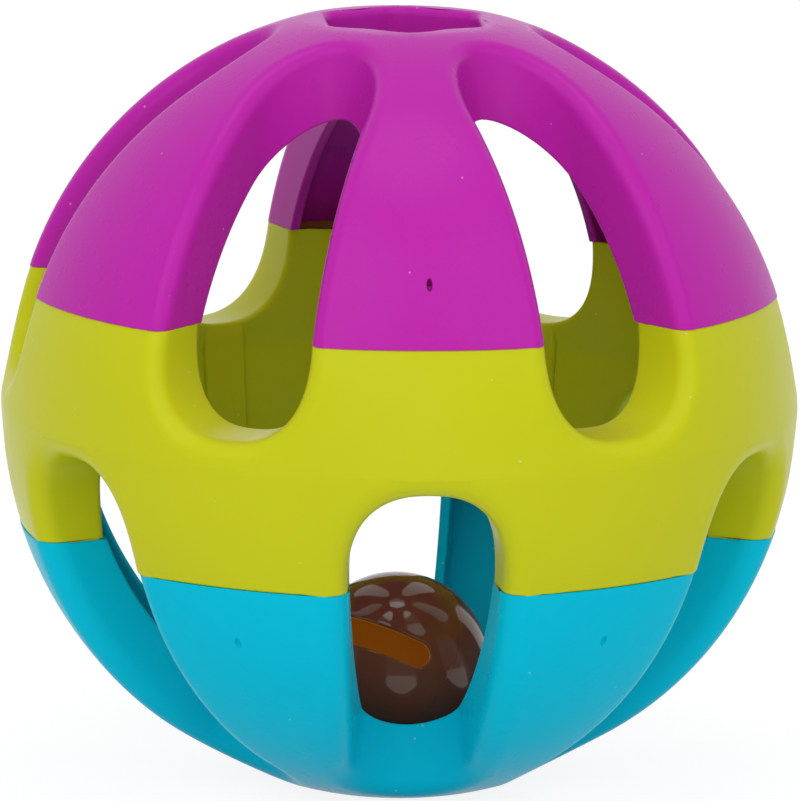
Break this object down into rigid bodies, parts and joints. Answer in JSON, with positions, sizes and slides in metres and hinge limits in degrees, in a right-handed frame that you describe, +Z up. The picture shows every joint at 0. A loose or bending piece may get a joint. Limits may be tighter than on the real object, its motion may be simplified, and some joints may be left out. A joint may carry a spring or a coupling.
{
  "type": "cat toy ball",
  "caption": "Slotted plastic ball of a cap, band and cup in three colours, with a loose jingle bell inside that hops and tumbles as the ball rolls.",
  "frame": {"origin": "centre of the ball", "axes": "+Z up through the two pole holes, with the cap on top; -Y through the middle of a cap rib, which is the front in the picture"},
  "size_m": [0.084, 0.084, 0.0814],
  "materials": {
    "cap_plastic": "satin moulded magenta plastic",
    "band_plastic": "satin moulded lime plastic",
    "cup_plastic": "satin moulded turquoise plastic",
    "bell_metal": "dark bronze plated pressed sheet, bright",
    "pellet_steel": "plain ground steel"
  },
  "bodies": {
    "shell": {"top_cap": "cap_plastic", "middle_band": "band_plastic", "bottom_cup": "cup_plastic"},
    "pellet": {"bell_pellet": "pellet_steel"},
    "bell": {"bell_upper_half": "bell_metal", "bell_lower_half": "bell_metal"}
  },
  "joints": [
    {"name": "bell_hop", "type": "slide", "parent": "shell", "child": "pellet", "axis": [0, 0, 1], "range_m": [0, 0.0573]},
    {"name": "bell_tumble", "type": "hinge", "parent": "pellet", "child": "bell", "pos_m": [0, 0, -0.02869], "axis": [1, 0, 0], "continuous": true}
  ]
}
